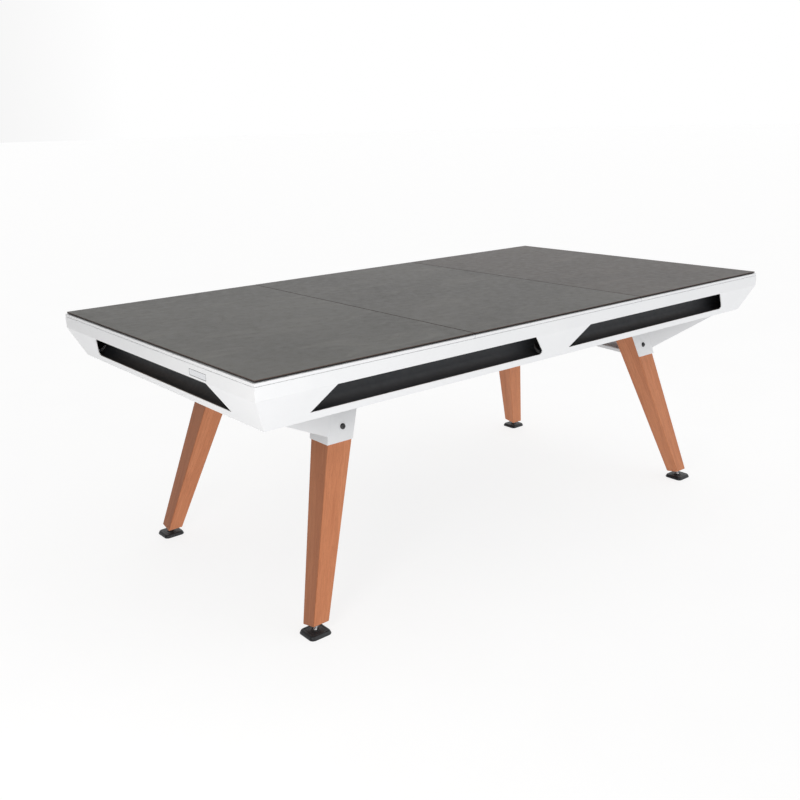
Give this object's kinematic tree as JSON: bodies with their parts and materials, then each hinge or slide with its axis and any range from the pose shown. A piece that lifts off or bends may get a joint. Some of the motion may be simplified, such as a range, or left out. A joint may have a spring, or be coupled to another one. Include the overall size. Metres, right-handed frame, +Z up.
{
  "type": "pool table",
  "caption": "Dining pool table: stone bed and cushions in a folded white body with open ball troughs, splayed wooden legs, screw feet and lift-off dark table tops.",
  "frame": {"origin": "on the floor under the middle of the table", "axes": "+X along the length, +Y along the width, +Z up; the long side with the pair of ball windows seen from the front faces -Y"},
  "size_m": [2.18, 1.19, 0.811],
  "materials": {
    "body_coat": "fine matt white powder coat",
    "slab_ceramic": "matt dark grey brown sintered ceramic",
    "bumper_rubber": "matt",
    "bed_stone": "ground slate",
    "cloth": "woven wool cloth",
    "rail_wood": "raw beech",
    "cushion_rubber": "cloth covered rubber",
    "pocket_plastic": "black moulded plastic",
    "trough_plastic": "dark grey moulded plastic",
    "chassis_coat": "black powder coat",
    "leg_timber": "oiled orange brown hardwood",
    "stud_steel": "zinc plated",
    "sleeve_steel": "plain steel",
    "bolt_black": "black oxide",
    "pad_plastic": "black moulded plastic",
    "badge_metal": "satin"
  },
  "bodies": {
    "table": {"apron_front": "body_coat", "apron_back": "body_coat", "apron_left": "body_coat", "apron_right": "body_coat", "tray_bumpers": "bumper_rubber", "bed_slate": "bed_stone", "bed_cloth": "cloth", "rail_front": "rail_wood", "rail_back": "rail_wood", "rail_left": "rail_wood", "rail_right": "rail_wood", "cushion_front_left": "cushion_rubber", "cushion_front_right": "cushion_rubber", "cushion_back_left": "cushion_rubber", "cushion_back_right": "cushion_rubber", "cushion_left": "cushion_rubber", "cushion_right": "cushion_rubber", "pocket_front_left": "pocket_plastic", "pocket_front_middle": "pocket_plastic", "pocket_front_right": "pocket_plastic", "pocket_back_left": "pocket_plastic", "pocket_back_middle": "pocket_plastic", "pocket_back_right": "pocket_plastic", "trough_front_left": "trough_plastic", "trough_front_right": "trough_plastic", "trough_back_left": "trough_plastic", "trough_back_right": "trough_plastic", "trough_left": "trough_plastic", "trough_right": "trough_plastic", "chassis_beam_front": "chassis_coat", "chassis_beam_back": "chassis_coat", "chassis_cross_members": "chassis_coat", "apron_outriggers": "chassis_coat", "leg_bracket_front_left": "body_coat", "leg_bracket_front_right": "body_coat", "leg_bracket_back_left": "body_coat", "leg_bracket_back_right": "body_coat", "leg_crossbeam_left": "body_coat", "leg_crossbeam_right": "body_coat", "leg_front_left": "leg_timber", "leg_front_right": "leg_timber", "leg_back_left": "leg_timber", "leg_back_right": "leg_timber", "leg_bolts": "bolt_black", "foot_sleeves": "sleeve_steel", "badge_plate": "badge_metal"},
    "top_left": {"top_tray_left": "body_coat", "top_slab_left": "slab_ceramic"},
    "top_middle": {"top_tray_middle": "body_coat", "top_slab_middle": "slab_ceramic"},
    "top_right": {"top_tray_right": "body_coat", "top_slab_right": "slab_ceramic"},
    "pad_front_left": {"foot_pad_front_left": "pad_plastic"},
    "screw_front_left": {"foot_stud_front_left": "stud_steel"},
    "pad_front_right": {"foot_pad_front_right": "pad_plastic"},
    "screw_front_right": {"foot_stud_front_right": "stud_steel"},
    "pad_back_left": {"foot_pad_back_left": "pad_plastic"},
    "screw_back_left": {"foot_stud_back_left": "stud_steel"},
    "pad_back_right": {"foot_pad_back_right": "pad_plastic"},
    "screw_back_right": {"foot_stud_back_right": "stud_steel"}
  },
  "joints": [
    {"name": "lift_left", "type": "slide", "parent": "table", "child": "top_left", "axis": [0, 0, 1], "range_m": [0, 0.25]},
    {"name": "lift_middle", "type": "slide", "parent": "table", "child": "top_middle", "axis": [0, 0, 1], "range_m": [0, 0.25]},
    {"name": "lift_right", "type": "slide", "parent": "table", "child": "top_right", "axis": [0, 0, 1], "range_m": [0, 0.25]},
    {"name": "foot_front_left", "type": "slide", "parent": "table", "child": "pad_front_left", "axis": [-0.2979, -0.198, -0.9338], "range_m": [0, 0.015]},
    {"name": "turn_front_left", "type": "hinge", "parent": "pad_front_left", "child": "screw_front_left", "pos_m": [-0.87188, -0.45174, 0.011], "axis": [-0.2979, -0.198, -0.9338], "range_deg": [0, 3601]},
    {"name": "foot_front_right", "type": "slide", "parent": "table", "child": "pad_front_right", "axis": [0.2979, -0.198, -0.9338], "range_m": [0, 0.015]},
    {"name": "turn_front_right", "type": "hinge", "parent": "pad_front_right", "child": "screw_front_right", "pos_m": [0.87188, -0.45174, 0.011], "axis": [0.2979, -0.198, -0.9338], "range_deg": [0, 3601]},
    {"name": "foot_back_left", "type": "slide", "parent": "table", "child": "pad_back_left", "axis": [-0.2979, 0.198, -0.9338], "range_m": [0, 0.015]},
    {"name": "turn_back_left", "type": "hinge", "parent": "pad_back_left", "child": "screw_back_left", "pos_m": [-0.87188, 0.45174, 0.011], "axis": [-0.2979, 0.198, -0.9338], "range_deg": [0, 3601]},
    {"name": "foot_back_right", "type": "slide", "parent": "table", "child": "pad_back_right", "axis": [0.2979, 0.198, -0.9338], "range_m": [0, 0.015]},
    {"name": "turn_back_right", "type": "hinge", "parent": "pad_back_right", "child": "screw_back_right", "pos_m": [0.87188, 0.45174, 0.011], "axis": [0.2979, 0.198, -0.9338], "range_deg": [0, 3601]}
  ],
  "couplings": [
    {"joint": "turn_front_left", "follows": "foot_front_left", "rad_per_m": 4188.8},
    {"joint": "turn_front_right", "follows": "foot_front_right", "rad_per_m": 4188.8},
    {"joint": "turn_back_left", "follows": "foot_back_left", "rad_per_m": 4188.8},
    {"joint": "turn_back_right", "follows": "foot_back_right", "rad_per_m": 4188.8}
  ]
}
